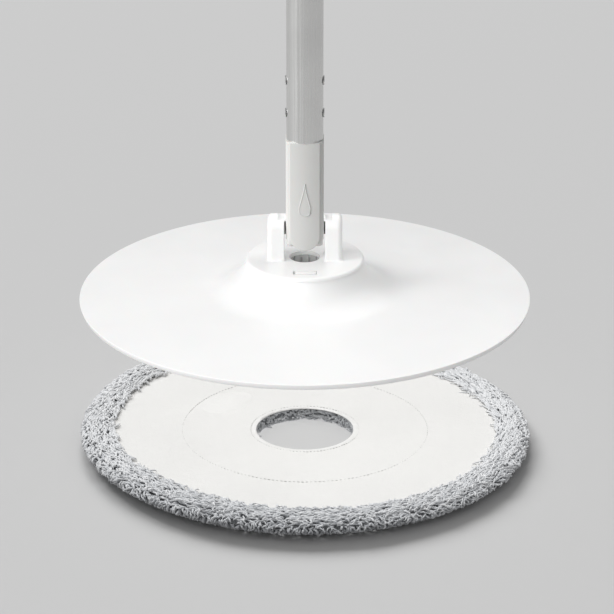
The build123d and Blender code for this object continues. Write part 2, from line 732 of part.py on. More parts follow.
def end_cap():
    """The domed plug at the top of the pole, with an eye to hang the mop by."""
    wall_r = GRIP_R - 0.2
    wall_z = UPPER_TOP + 8
    dome = turned(
        Line((0, UPPER_TOP), (wall_r, UPPER_TOP)),
        Line((wall_r, UPPER_TOP), (wall_r, wall_z)),
        ThreePointArc((wall_r, wall_z), (11.5, DOME_TOP - 5.5), (0, DOME_TOP)),
        Line((0, DOME_TOP), (0, UPPER_TOP)),
    )
    spigot = tube(UPPER_BORE - FIT_GAP, SPIGOT_BORE, UPPER_TOP - SPIGOT_DEPTH, UPPER_TOP)
    half = EYE_TAB_T / 2
    tab = block(-EYE_TAB_R, EYE_TAB_R, -half, half, UPPER_TOP + 10, EYE_Z)
    tab += Pos(0, 0, EYE_Z) * Rot(90, 0, 0) * Cylinder(EYE_TAB_R, EYE_TAB_T)
    body = dome + tab + spigot
    body -= Pos(0, 0, EYE_Z) * Rot(90, 0, 0) * Cylinder(EYE_R, 20)
    return body - cap_screw_hole()


def cap_screw():
    """The small screw that pins the end cap's spigot to the upper tube, under the grip."""
    return rod_x(CAP_SCREW_R, SPIGOT_BORE + 0.1, UPPER_R - 0.1, 0, CAP_SCREW_Z)


def main():
    os.makedirs("parts", exist_ok=True)
    makers = [
        mop_disc,
        yoke_cap,
        spindle_socket,
        hub_screws,
        pivot_pin,
        pivot_washers,
        pad_pile,
        pad_foam,
        pad_backing,
        connector,
        lower_tube,
        tube_rivets,
        strip_anchor,
        drive_strip,
        tube_collar,
        swivel_collar,
        lever_pin,
        lock_lever,
        upper_tube,
        nut_housing,
        drive_nut,
        ratchet_pawls,
        pawl_springs,
        nut_retainer,
        grip_ring,
        hand_grip,
        end_cap,
        cap_screw,
    ]
    shapes = {make.__name__: make() for make in makers}
    for name in HOOK_RINGS:
        shapes[name] = hook_ring(name)
    for name, shape in shapes.items():
        export_step(shape, f"parts/{name}.step")


main()
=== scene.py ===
import json
import math

import bpy
import numpy as np
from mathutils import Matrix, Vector

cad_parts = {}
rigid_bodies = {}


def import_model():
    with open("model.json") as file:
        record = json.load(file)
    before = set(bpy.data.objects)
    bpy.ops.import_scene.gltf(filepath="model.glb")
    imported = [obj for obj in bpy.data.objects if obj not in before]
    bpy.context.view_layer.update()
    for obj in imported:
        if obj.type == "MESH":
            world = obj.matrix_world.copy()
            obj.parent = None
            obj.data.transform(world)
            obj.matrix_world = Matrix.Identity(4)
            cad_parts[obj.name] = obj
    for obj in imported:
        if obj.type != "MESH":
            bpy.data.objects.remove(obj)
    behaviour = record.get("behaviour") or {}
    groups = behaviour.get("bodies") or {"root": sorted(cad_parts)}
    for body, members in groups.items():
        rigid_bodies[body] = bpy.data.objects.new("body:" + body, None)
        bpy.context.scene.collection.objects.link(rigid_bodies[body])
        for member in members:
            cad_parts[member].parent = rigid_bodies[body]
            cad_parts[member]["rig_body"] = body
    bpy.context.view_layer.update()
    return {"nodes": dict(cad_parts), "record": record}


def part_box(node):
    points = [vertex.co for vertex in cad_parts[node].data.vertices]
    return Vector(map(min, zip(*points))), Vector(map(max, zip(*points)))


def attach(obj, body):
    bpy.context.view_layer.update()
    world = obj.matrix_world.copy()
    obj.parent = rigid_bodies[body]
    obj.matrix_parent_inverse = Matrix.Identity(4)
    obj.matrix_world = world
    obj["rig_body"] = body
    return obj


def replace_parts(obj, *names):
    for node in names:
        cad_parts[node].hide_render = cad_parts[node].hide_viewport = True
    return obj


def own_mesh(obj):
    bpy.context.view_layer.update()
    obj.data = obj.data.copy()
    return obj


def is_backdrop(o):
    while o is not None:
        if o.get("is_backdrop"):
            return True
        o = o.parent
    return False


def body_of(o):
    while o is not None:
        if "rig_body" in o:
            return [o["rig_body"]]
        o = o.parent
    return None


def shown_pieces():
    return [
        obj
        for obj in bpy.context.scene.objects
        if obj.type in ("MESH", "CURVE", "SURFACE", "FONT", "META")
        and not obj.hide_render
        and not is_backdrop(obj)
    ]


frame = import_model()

# The looks of a spin mop: a plain studio floor, one camera, soft lamps, detailed materials on
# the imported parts, a smooth flared plate, and a pad built as stitched cloth over thousands of
# chenille tufts.

MM = 0.001
RNG = np.random.default_rng(7)

# ---------------------------------------------------------------- sizes worked out from the frame
PILE_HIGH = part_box("pad_pile")[1]
BACK_LOW, BACK_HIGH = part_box("pad_backing")
DISC_LOW, DISC_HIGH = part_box("mop_disc")
CAP_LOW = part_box("yoke_cap")[0]
CONNECTOR_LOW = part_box("connector")[0]

# The pad: its cloth, its hole and the wall behind the hole's tufts.
PAD_R = PILE_HIGH.x
PAD_TOP = PILE_HIGH.z
BACKING_R = BACK_HIGH.x
BACKING_TOP = BACK_HIGH.z
BACKING_UNDER = BACK_LOW.z
HOLE_R = 34 * MM
HOLE_WALL_R = HOLE_R + 2.2 * MM
BINDING_W = 3.4 * MM
BINDING_Z = BACKING_TOP - 0.66 * MM
# Each ring of stitches: its radius and the length of cloth that one stitch takes.
STITCH_RINGS = {"stitching_hole": (38 * MM, 2.4 * MM), "stitching_middle": (86 * MM, 2.9 * MM)}
STITCH_SHARE = 0.34
THREAD_R = 0.26 * MM

# The plate: rim, shallow cone, flare, neck, and the seat that the cap stands on.
DISC_R = DISC_HIGH.x
RIM_BOTTOM = DISC_LOW.z
RIM_TOP = RIM_BOTTOM + 4 * MM
PLATE_T = 2.5 * MM
LIP_W = 3.9 * MM
LIP_DRAFT = 1.1 * MM
FLARE_R = 68.6 * MM
FLARE_Z = RIM_TOP + 3.5 * MM
NECK_R = 40.2 * MM
SEAT_TOP = CAP_LOW.z
SEAT_HOLE_R = 12 * MM
# Under the plate: radial ribs, and round lands at these inner radii for the hook tape.
RIBS = 12
RIB_T = 1.6 * MM
RIB_START_R = 41 * MM
RIB_FOOT_R = 50 * MM
LANDS = (60.0, 74.4, 114.0, 134.4)

# The cap's windows, and the gaps round the snap tongue that stands in each.
WINDOW_X, WINDOW_Y, WINDOW_AT = 16 * MM, 6.7 * MM, 29.4 * MM
LATCH_GAP, LATCH_LEFT_GAP, LATCH_OUTER_GAP = 0.4 * MM, 1.5 * MM, 2.25 * MM
LATCH_TOP = DISC_HIGH.z

# The water drop on the connector: half its width, and where its curves begin and end.
DROP_HALF_W = 3.75 * MM
DROP_LOW_Z = CONNECTOR_LOW.z + 25.6 * MM
DROP_WIDE_Z = CONNECTOR_LOW.z + 31.2 * MM
DROP_TIP_Z = CONNECTOR_LOW.z + 48.8 * MM
DROP_PROUD = 0.15 * MM
CROWN_R = 40 * MM
CROWN_FRONT = 12.2 * MM

# The camera looks down at the head from in front.
CAMERA_PLACE = (0.0015, -2.0, 0.9392)
CAMERA_PITCH = 22.71
CAMERA_LENS = 184.1
FLOOR_HALF_W = 9.0
ROOM_LIGHT = 0.33

WHITE = (0.86, 0.86, 0.857, 1)
POLE_GREY = (0.60, 0.60, 0.585, 1)
CLOTH = (0.785, 0.78, 0.765, 1)


# ---------------------------------------------------------------- material helpers
class Surface:
    """A new material with its Principled shader, and short ways to feed it."""

    def __init__(self, name, colour, roughness, metallic=0.0):
        self.material = bpy.data.materials.new(name)
        self.material.use_nodes = True
        self.tree = self.material.node_tree
        self.shader = self.tree.nodes["Principled BSDF"]
        self.shader.inputs["Base Color"].default_value = colour
        self.shader.inputs["Roughness"].default_value = roughness
        self.shader.inputs["Metallic"].default_value = metallic
        self.place = self.node("ShaderNodeTexCoord").outputs["Object"]
        self.height = None

    def node(self, kind, **values):
        made = self.tree.nodes.new(kind)
        for key, value in values.items():
            setattr(made, key, value)
        return made

    def link(self, source, target):
        self.tree.links.new(source, target)

    def set(self, name, value):
        self.shader.inputs[name].default_value = value

    def stretched(self, scale):
        """The object's own coordinates, scaled by a different number along each axis."""
        mapping = self.node("ShaderNodeMapping")
        mapping.inputs["Scale"].default_value = scale
        self.link(self.place, mapping.inputs["Vector"])
        return mapping.outputs["Vector"]

    def noise(self, scale, detail=3.0, place=None):
        made = self.node("ShaderNodeTexNoise")
        made.inputs["Scale"].default_value = scale
        made.inputs["Detail"].default_value = detail
        self.link(place or self.place, made.inputs["Vector"])
        return made.outputs["Fac"]

    def cells(self, scale, place=None):
        made = self.node("ShaderNodeTexVoronoi")
        made.inputs["Scale"].default_value = scale
        self.link(place or self.place, made.inputs["Vector"])
        return made.outputs["Distance"]

    def spread(self, value, low, high):
        """A value from about 0.3 to 0.7, as noise gives, taken to low and high."""
        made = self.node("ShaderNodeMapRange")
        made.inputs["From Min"].default_value = 0.3
        made.inputs["From Max"].default_value = 0.7
        made.inputs["To Min"].default_value = low
        made.inputs["To Max"].default_value = high
        self.link(value, made.inputs["Value"])
        return made.outputs["Result"]

    def tint(self, value, *stops):
        """The base colour follows value through these (position, colour) stops."""
        ramp = self.node("ShaderNodeValToRGB")
        elements = ramp.color_ramp.elements
        while len(elements) < len(stops):
            elements.new(0.5)
        for element, (position, colour) in zip(elements, stops):
            element.position = position
            element.color = colour
        self.link(value, ramp.inputs["Fac"])
        self.link(ramp.outputs["Color"], self.shader.inputs["Base Color"])

    def rough(self, value, low, high):
        self.link(self.spread(value, low, high), self.shader.inputs["Roughness"])

    def bump(self, value, distance):
        """Adds one more layer of relief, distance metres deep."""
        made = self.node("ShaderNodeBump")
        made.inputs["Distance"].default_value = distance
        made.inputs["Strength"].default_value = 1.0
        self.link(value, made.inputs["Height"])
        if self.height:
            self.link(self.height, made.inputs["Normal"])
        self.height = made.outputs["Normal"]
        self.link(self.height, self.shader.inputs["Normal"])


def shade(colour, factor):
    return tuple(min(1.0, c * factor) for c in colour[:3]) + (1,)


# ---------------------------------------------------------------- materials
def moulded_plastic(name, colour, roughness):
    """Satin injection-moulded plastic: faint flow marks, fine grain and handling marks."""
    s = Surface(name, colour, roughness)
    s.tint(s.noise(14, 4), (0.35, shade(colour, 0.985)), (0.65, shade(colour, 1.01)))
    s.rough(s.noise(60, 6), roughness - 0.04, roughness + 0.07)
    s.bump(s.noise(35, 2), 0.12 * MM)
    s.bump(s.noise(2600, 2), 0.012 * MM)
    s.set("Subsurface Weight", 0.06)
    s.set("Subsurface Scale", 2 * MM)
    s.set("Coat Weight", 0.08)
    s.set("Coat Roughness", 0.25)
    return s.material


def drawn_metal(name, colour, roughness):
    """Metal with fine lines along Z, as on a drawn tube."""
    s = Surface(name, colour, roughness, metallic=1.0)
    lines = s.noise(1.0, 4, s.stretched((1400, 1400, 9)))
    s.tint(s.noise(22, 4), (0.3, shade(colour, 0.93)), (0.7, shade(colour, 1.04)))
    s.rough(lines, roughness - 0.08, roughness + 0.12)
    s.bump(lines, 0.015 * MM)
    return s.material


def spring_steel(name, colour, roughness):
    """Plain steel with cut marks every way."""
    s = Surface(name, colour, roughness, metallic=1.0)
    s.tint(s.noise(90, 5), (0.3, shade(colour, 0.85)), (0.7, shade(colour, 1.05)))
    s.rough(s.noise(300, 6), roughness - 0.1, roughness + 0.15)
    s.bump(s.noise(1500, 3), 0.01 * MM)
    return s.material


def soft_rubber(name, colour):
    """Matt rubber with a pebbled skin, paler where hands have rubbed it."""
    s = Surface(name, colour, 0.7)
    s.tint(s.noise(45, 5), (0.35, shade(colour, 0.88)), (0.7, shade(colour, 1.15)))
    s.rough(s.noise(80, 5), 0.58, 0.82)
    s.bump(s.cells(900), 0.08 * MM)
    s.bump(s.noise(3000, 2), 0.03 * MM)
    s.set("Sheen Weight", 0.2)
    return s.material


def hook_tape(name, colour):
    """White hook tape: a woven ground crowded with small hooks."""
    s = Surface(name, colour, 0.6)
    hooks = s.cells(950)
    s.tint(hooks, (0.1, shade(colour, 1.05)), (0.8, shade(colour, 0.62)))
    s.bump(hooks, 0.6 * MM)
    s.bump(s.noise(2500, 3), 0.05 * MM)
    s.set("Sheen Weight", 0.3)
    return s.material


def backing_cloth(name):
    """Off-white brushed loop fabric with a fine knitted grain and a little dirt."""
    s = Surface(name, CLOTH, 0.88)
    tone = s.noise(9, 5)
    s.tint(tone, (0.3, shade(CLOTH, 0.955)), (0.6, CLOTH), (0.8, shade(CLOTH, 1.02)))
    rows = s.noise(1.0, 2, s.stretched((520, 1150, 520)))
    s.bump(rows, 0.22 * MM)
    s.bump(s.noise(1900, 4), 0.12 * MM)
    s.bump(s.noise(60, 3), 0.5 * MM)
    s.rough(s.noise(200, 3), 0.8, 0.95)
    s.set("Sheen Weight", 0.25)
    s.set("Sheen Roughness", 0.5)
    return s.material


def binding_cloth(name):
    """Smooth white knitted tape round the pad's hole."""
    colour = (0.805, 0.80, 0.79, 1)
    s = Surface(name, colour, 0.8)
    s.tint(s.noise(200, 4), (0.3, shade(colour, 0.94)), (0.7, colour))
    s.bump(s.noise(1.0, 2, s.stretched((1800, 700, 700))), 0.15 * MM)
    s.set("Sheen Weight", 0.2)
    return s.material


def thread(name, colour):
    """Spun sewing thread."""
    s = Surface(name, colour, 0.7)
    s.tint(s.noise(1400, 3), (0.3, shade(colour, 0.8)), (0.7, colour))
    s.bump(s.noise(4000, 2), 0.04 * MM)
    s.set("Sheen Weight", 0.3)
    return s.material


def chenille(name):
    """Blue-grey microfibre. Each tuft carries its own random tone, with painted shade making it dark
    at the root and pale at the tip.
    """
    s = Surface(name, (0.5, 0.52, 0.55, 1), 0.9)
    tone = s.node("ShaderNodeAttribute", attribute_name="tone")
    grain = s.node("ShaderNodeMath", operation="ADD")
    s.link(tone.outputs["Fac"], grain.inputs[0])
    s.link(s.spread(s.noise(1500, 3), -0.12, 0.12), grain.inputs[1])
    s.tint(
        grain.outputs["Value"],
        (0.0, (0.34, 0.35, 0.37, 1)),
        (0.3, (0.56, 0.575, 0.60, 1)),
        (0.6, (0.75, 0.765, 0.785, 1)),
        (1.0, (0.90, 0.907, 0.92, 1)),
    )
    s.bump(s.noise(2400, 4), 0.5 * MM)
    s.set("Sheen Weight", 0.35)
    s.set("Sheen Roughness", 0.4)
    return s.material


def foam(name):
    """Felted ground that the tufts stand in, painted dark for the shade in the gaps between them."""
    colour = (0.36, 0.37, 0.39, 1)
    s = Surface(name, colour, 0.95)
    s.tint(s.noise(900, 5), (0.3, shade(colour, 0.6)), (0.7, shade(colour, 1.3)))
    s.bump(s.noise(1200, 4), 0.8 * MM)
    return s.material


def floor_paint(name):
    """Even pale grey, matt."""
    colour = (0.585, 0.585, 0.585, 1)
    s = Surface(name, colour, 0.9)
    s.tint(s.noise(0.6, 2), (0.3, shade(colour, 0.997)), (0.7, shade(colour, 1.003)))
    s.set("Specular IOR Level", 0.1)
    return s.material


# ---------------------------------------------------------------- mesh helpers
def piece(name, points, faces, material, body, smooth=True):
    """A mesh piece that rides on a CAD body."""
    mesh = bpy.data.meshes.new(name)
    mesh.from_pydata(points, [], faces)
    mesh.materials.append(material)
    mesh.polygons.foreach_set("use_smooth", [smooth] * len(mesh.polygons))
    mesh.update()
    made = bpy.data.objects.new(name, mesh)
    bpy.context.scene.collection.objects.link(made)
    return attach(made, body)


def lathe(profile, sides, wobble=None):
    """Points and faces of a closed (radius, height) outline turned about Z.

    wobble(radius, height, angle) may return a small change of height."""
    rings = len(profile)
    points = []
    for i in range(sides):
        angle = 2 * math.pi * i / sides
        for radius, height in profile:
            lift = wobble(radius, height, angle) if wobble else 0.0
            points.append((radius * math.cos(angle), radius * math.sin(angle), height + lift))
    faces = []
    for i in range(sides):
        here = i * rings
        there = (i + 1) % sides * rings
        for j in range(rings):
            k = (j + 1) % rings
            faces.append((here + j, there + j, there + k, here + k))
    return points, faces


def joined(parts):
    """Several (points, faces) meshes as one."""
    points, faces = [], []
    for more_points, more_faces in parts:
        base = len(points)
        points += more_points
        faces += [tuple(base + i for i in face) for face in more_faces]
    return points, faces


def unit(vectors):
    return vectors / np.linalg.norm(vectors, axis=-1, keepdims=True)


def worms(lines, radii, sides):
    """Closed little tubes along many centre lines at once.

    lines is (count, steps, 3) and radii (count, steps); both ends close to a small cap."""
    count, steps, _ = lines.shape
    along = unit(np.gradient(lines, axis=1))
    up = np.zeros_like(along)
    up[..., 2] = 1.0
    up[np.abs(along[..., 2]) > 0.9] = (1.0, 0.0, 0.0)
    side = unit(np.cross(along, up))
    over = np.cross(side, along)
    angle = np.arange(sides) * 2 * math.pi / sides
    ring = side[:, :, None] * np.cos(angle)[:, None] + over[:, :, None] * np.sin(angle)[:, None]
    points = lines[:, :, None] + ring * radii[:, :, None, None]
    index = np.arange(count * steps * sides).reshape(count, steps, sides)
    ahead = np.roll(index, -1, axis=2)
    quads = np.stack([index[:, :-1], ahead[:, :-1], ahead[:, 1:], index[:, 1:]], axis=-1)
    faces = quads.reshape(-1, 4).tolist()
    faces += index[:, 0, ::-1].reshape(-1, sides).tolist()
    faces += index[:, -1].reshape(-1, sides).tolist()
    return points.reshape(-1, 3), faces


def tufted(name, line, radii, tone, sides, material, lifted=False):
    """A piece of the pad made of tufts, each point carrying its tuft's tone."""
    points, faces = worms(line, radii, sides)
    points = bulged(points) if lifted else points.tolist()
    made = piece(name, points, faces, material, "pad")
    tone = np.repeat(tone[..., None], sides, axis=2)
    layer = made.data.attributes.new("tone", "FLOAT", "POINT")
    layer.data.foreach_set("value", tone.astype(np.float32).ravel())
    return made


# ---------------------------------------------------------------- pad
# The fringe's rounded section, from the backing's edge over the rim to the floor: distance in
# from the pad's outer radius, and height.
ROLL = [
    (22.5, 9.9),
    (17.5, 10.9),
    (10.0, 10.8),
    (4.5, 9.6),
    (2.2, 7.4),
    (4.4, 5.6),
    (9.5, 3.6),
    (14.5, 1.6),
]
# Below this height the tufts are held back from the rim, by this much for each step down.
UNDERCUT_TOP = 5.6 * MM
UNDERCUT_SLOPE = 2.7
# Where the soft pile pushes the pad's edge up a little: angle round it, spread, height. The
# rise begins at this radius and is whole at the cloth's edge.
BULGES = [(138, 38, 5.0 * MM), (228, 42, 2.0 * MM)]
BULGE_START_R = 60 * MM
# The fringe in parts by how far its edge is raised, each with what is left of its height when
# the plate presses on it, a share not used here: name, least and most lift, share kept.
FRINGE_PARTS = [
    ("fringe_tufts_low", -1.0, 0.9 * MM, 0.70),
    ("fringe_tufts_middle", 0.9 * MM, 2.6 * MM, 0.61),
    ("fringe_tufts_high", 2.6 * MM, 1.0, 0.52),
]
# The edge is also pulled in a little on one side: share of the radius, angle and spread.
PULL_IN, PULL_AT, PULL_SPREAD = 0.02, 220, 30
# Where the pile's lie, and the painted shade on the fringe's tufts, change round the pad: angle and
# spread in degrees.
FRONT = (262, 55)
BEHIND = (90, 75)
BACK_LEFT = (140, 40)
FRINGE_ROWS, FRINGE_PER_ROW = 17, 600
HOLE_ROWS, HOLE_PER_ROW = 5, 110
SOLE_TUFTS = 5200


def edge_lift(angle):
    """How far the pad's edge is raised at this angle in degrees, from 0 to 360."""
    return sum(height * np.exp(-(((angle - at) / spread) ** 2)) for at, spread, height in BULGES)


def bulged(points):
    """The pad's points, raised towards the edge where the pile underneath is thicker."""
    points = np.array(points)
    radius = np.hypot(points[:, 0], points[:, 1])
    angle = np.degrees(np.arctan2(points[:, 1], points[:, 0])) % 360
    lift = edge_lift(angle)
    outward = np.clip((radius - BULGE_START_R) / (BACKING_R - BULGE_START_R), 0, 1)
    upward = np.clip(points[:, 2] / PAD_TOP, 0, 1)
    outward = outward**2 * (3 - 2 * outward)
    points[:, 2] += lift * outward * upward
    pulled_in = 1 - PULL_IN * np.exp(-(((angle - PULL_AT) / PULL_SPREAD) ** 2)) * outward
    points[:, :2] *= pulled_in[:, None]
    return points.tolist()


def roll_line(t):
    """Where t, from 0 to 1, lies along the fringe's section: radius, height and normal."""
    r = PAD_R - np.array([inset for inset, height in ROLL]) * MM
    z = np.array([height for inset, height in ROLL]) * MM
    length = np.concatenate([[0], np.cumsum(np.hypot(np.diff(r), np.diff(z)))])
    samples, window = 120, 15

    def rounded(values):
        fine = np.interp(np.linspace(0, length[-1], samples), length, values)
        return np.convolve(np.pad(fine, window // 2, "edge"), np.ones(window) / window, "valid")

    fine_r = rounded(r)
    fine_z = rounded(z)
    step_r = np.gradient(fine_r)
    step_z = np.gradient(fine_z)
    size = np.hypot(step_r, step_z)
    at = np.linspace(0, 1, samples)
    curves = (fine_r, fine_z, -step_z / size, step_r / size)
    return tuple(np.interp(t, at, values) for values in curves)


def tufts(theta, r, z, normal_r, normal_z, lean, length, height, thick):
    """Chenille tufts: each leaves the ground, bends over and lies along it.

    lean is the direction in the ground's plane: 0 along the rim, 90 degrees down the section."""
    count = len(theta)
    out = np.stack([np.cos(theta), np.sin(theta), np.zeros(count)], axis=1)
    up = np.tile((0.0, 0.0, 1.0), (count, 1))
    rim = np.stack([-np.sin(theta), np.cos(theta), np.zeros(count)], axis=1)
    normal = out * normal_r[:, None] + up * normal_z[:, None]
    down = out * normal_z[:, None] - up * normal_r[:, None]
    course = rim * np.cos(lean)[:, None] + down * np.sin(lean)[:, None]
    across = np.cross(normal, course)
    base = out * r[:, None] + up * z[:, None]
    steps = 6
    s = np.linspace(0, 1, steps)
    rise = np.sin(s * math.pi * 0.72)
    sway = RNG.normal(0, 0.16, (count, 1)) * s + RNG.normal(0, 0.05, (count, steps))
    line = base[:, None]
    line = line + normal[:, None] * (rise * height[:, None])[..., None]
    line = line + course[:, None] * (s * length[:, None])[..., None]
    line = line + across[:, None] * (sway * length[:, None])[..., None]
    swell = np.array([0.55, 0.95, 1.0, 1.0, 0.8, 0.35])
    radii = thick[:, None] * swell * RNG.uniform(0.85, 1.15, (count, steps))
    # Tone: random for each tuft, times painted shade that darkens it towards the root, deep in the
    # pile.
    tone = RNG.uniform(0.45, 1.0, (count, 1)) * (0.35 + 0.65 * np.sin(s * math.pi * 0.6))
    return line, radii, tone


def kept_in(line, radii, low, high, outer):
    """Keeps tufts above the floor, under the roll's top and inside its undercut outline."""
    line[..., 2] = np.clip(line[..., 2], low + radii, high - radii)
    under = np.maximum(0, UNDERCUT_TOP - line[..., 2])
    limit = outer - radii - UNDERCUT_SLOPE * under
    reach = np.hypot(line[..., 0], line[..., 1])
    factor = np.minimum(1.0, limit / reach)
    line[..., 0] *= factor
    line[..., 1] *= factor
    return line


def around(theta, at, spread):
    """1 at this angle in degrees round the pad, fading to 0 over the spread either side."""
    away = (np.degrees(theta) - at + 180) % 360 - 180
    return np.exp(-((away / spread) ** 2))


def fringe_places():
    """Where each tuft stands: its place t down the section and its angle round the pad."""
    t = np.repeat((np.arange(FRINGE_ROWS) + 0.5) / FRINGE_ROWS, FRINGE_PER_ROW)
    theta = np.tile(np.arange(FRINGE_PER_ROW) * 2 * math.pi / FRINGE_PER_ROW, FRINGE_ROWS)
    theta = theta + RNG.normal(0, 0.6 * math.pi / FRINGE_PER_ROW, len(t)) + t * 3.1
    t = t + RNG.normal(0, 0.008, len(t)) + 0.010 * np.sin(theta * 23)
    return t, theta


def fringe_lean(front, behind, hanging, inner):
    """Each tuft's direction: along the rim on top, down outside, and some turned back."""
    spread = RNG.normal(0, 1, len(front)) * (0.2 + 0.3 * front)
    lean = spread + 0.15 * (1 - hanging) + 1.25 * hanging - inner * (0.9 * front + 0.7 * behind)
    return np.where(RNG.random(len(front)) < 0.25 + 0.25 * front, math.pi - lean, lean)


def fringe_rise(t, theta):
    """How many millimetres each tuft arches up: in lumps, and in courses round the rim."""
    lump = 0.5 + 0.5 * np.sin(theta * 61 + t * 23) * np.sin(theta * 17 - t * 9)
    course = 0.5 + 0.5 * np.cos(2 * math.pi * (t * 5.3 + 0.1 * np.sin(theta * 9)))
    return 0.4 + 0.5 * lump + 1.1 * course + RNG.uniform(0, 0.6, len(t))


def fringe(material):
    """Rows of tufts round the pad's rounded rim: along the rim on top, hanging down outside."""
    t, theta = fringe_places()
    count = len(t)
    r, z, normal_r, normal_z = roll_line(np.clip(t, 0, 1))
    front = around(theta, *FRONT)
    behind = around(theta, *BEHIND)
    back = around(theta, *BACK_LEFT)
    hanging = np.clip((t - 0.42) / 0.2, 0, 1) * (0.2 + 0.8 * front)
    inner = np.clip((0.16 - t) / 0.1, 0, 1)
    lean = fringe_lean(front, behind, hanging, inner)
    length = RNG.uniform(5.5, 10.0, count) * (1.2 - 0.2 * front) * (1 - 0.5 * hanging) * MM
    height = fringe_rise(t, theta) + 0.9 * front * (1 - hanging) + 0.9 * back
    height = height * (1 - 0.7 * inner * behind) * MM
    thick = RNG.uniform(0.5, 0.8, count) * MM
    line, radii, tone = tufts(theta, r, z, normal_r, normal_z, lean, length, height, thick)
    # Painted light and shade on the tufts: darker at the front and down the hanging rows, where light
    # from behind doesn't reach; lighter on top, away from the front, and on the inner rows behind.
    painted_shading = 1.2 - 0.25 * front - 0.3 * np.clip((t - 0.35) / 0.3, 0, 1) + 0.1 * inner * behind
    tone = tone * painted_shading[:, None] + 0.12 * (1 - front)[:, None]
    top = PAD_TOP + (1.2 + 1.2 * front[:, None] + 1.0 * back[:, None]) * MM
    line = kept_in(line, radii, 0.2 * MM, top, PAD_R + 0.8 * MM)
    lift = edge_lift(np.degrees(theta) % 360)
    made = []
    for name, low, high, keep in FRINGE_PARTS:
        part = (lift >= low) & (lift < high)
        tufts_here = tufted(name, line[part], radii[part], tone[part], 5, material, lifted=True)
        made.append(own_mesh(tufts_here))
    return made


def hole_pile(material):
    """Tufts on the wall of the pad's hole, standing inwards."""
    count = HOLE_ROWS * HOLE_PER_ROW
    theta = np.tile(np.arange(HOLE_PER_ROW) * 2 * math.pi / HOLE_PER_ROW, HOLE_ROWS)
    theta = theta + RNG.normal(0, 0.02, count)
    z = np.repeat(np.linspace(1.2, 7.6, HOLE_ROWS), HOLE_PER_ROW) * MM
    r = np.full(count, HOLE_WALL_R)
    lean = RNG.normal(0.4, 0.9, count)
    length = RNG.uniform(3.0, 5.0, count) * MM
    height = RNG.uniform(1.0, 1.9, count) * MM
    thick = RNG.uniform(0.6, 0.9, count) * MM
    inward = -np.ones(count)
    line, radii, tone = tufts(theta, r, z, inward, np.zeros(count), lean, length, height, thick)
    line[..., 2] = np.clip(line[..., 2], 0.3 * MM + radii, BACKING_UNDER - radii)
    # The tufts in the hole take 0.8 of their tone: painted shade inside the hole.
    return tufted("hole_tufts", line, radii, 0.8 * tone, 5, material)


def sole_pile(material):
    """The mopping side: loops under the whole pad, evenly spaced along a golden spiral."""
    step = np.arange(SOLE_TUFTS) + 0.5
    inner = HOLE_R + 3 * MM
    outer = PAD_R - 19 * MM
    r = np.sqrt(inner**2 + (outer**2 - inner**2) * step / SOLE_TUFTS)
    theta = step * math.pi * (3 - math.sqrt(5))
    z = np.full(SOLE_TUFTS, 2.4 * MM)
    lean = RNG.uniform(0, 2 * math.pi, SOLE_TUFTS)
    length = RNG.uniform(5.0, 8.0, SOLE_TUFTS) * MM
    height = RNG.uniform(1.2, 2.0, SOLE_TUFTS) * MM
    thick = RNG.uniform(0.9, 1.25, SOLE_TUFTS) * MM
    level, down = np.zeros(SOLE_TUFTS), -np.ones(SOLE_TUFTS)
    line, radii, tone = tufts(theta, r, z, level, down, lean, length, height, thick)
    line = kept_in(line, radii, 0.05 * MM, 4 * MM, PAD_R - 9 * MM)
    return tufted("sole_tufts", line, radii, tone, 4, material)


def pad_core(material):
    """The ground inside the tufts, painted dark as shade between them, a soft ring with a rounded rim.
    """
    inset = 0.7 * MM
    ceiling = BACKING_UNDER - 0.1 * MM
    profile = []
    for t in np.linspace(0.03, 0.98, 24):
        r, z, normal_r, normal_z = roll_line(t)
        profile.append((float(r - inset * normal_r), float(z - inset * normal_z)))
    profile.append((HOLE_WALL_R + 1.8 * MM, 1.9 * MM))
    profile.append((HOLE_WALL_R, 2.8 * MM))
    profile.append((HOLE_WALL_R, ceiling))
    profile.append((BACKING_R - 3.0 * MM, ceiling))
    points, faces = lathe(profile[::-1], 360)
    made = piece("pad_core", bulged(points), faces, material, "pad")
    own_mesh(made)
    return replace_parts(made, "pad_foam", "pad_pile")


def cloth_height(r, theta):
    """The backing's relief: sewn grooves, small puckers beside them and a slight waviness."""
    lift = (0.10 * math.sin(3 * theta + 40 * r) + 0.06 * math.sin(7 * theta - 90 * r)) * MM
    for ring, pitch in STITCH_RINGS.values():
        away = (r - ring) / (1.1 * MM)
        pull = math.exp(-away * away)
        stitches = round(2 * math.pi * ring / pitch)
        lift -= pull * (0.04 + 0.05 * math.cos(stitches * theta)) * MM
        near = (r - ring) / (4.0 * MM)
        lift += 0.10 * MM * math.exp(-near * near) * math.sin(stitches / 4 * theta)
    return lift


def backing(material):
    """The cloth on top of the pad, a flat ring whose outer edge tucks under the fringe."""
    edge = BACKING_R + 1.0 * MM
    start = HOLE_R + 0.6 * MM
    radii = [start]
    while radii[-1] < edge - 3.0 * MM:
        close = min(abs(radii[-1] - ring) for ring, pitch in STITCH_RINGS.values())
        radii.append(radii[-1] + (0.5 * MM if close < 5 * MM else 2.0 * MM))
    radii.append(edge)
    top = [(r, BACKING_TOP - 0.3 * MM) for r in radii]
    under = [(edge, BACKING_UNDER), (start, BACKING_UNDER)]

    def relief(r, height, theta):
        return cloth_height(r, theta) if height > BACKING_UNDER + 0.1 * MM else 0.0

    points, faces = lathe((top + under)[::-1], 900, relief)
    made = piece("backing_cloth", bulged(points), faces, material, "pad")
    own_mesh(made)
    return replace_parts(made, "pad_backing")


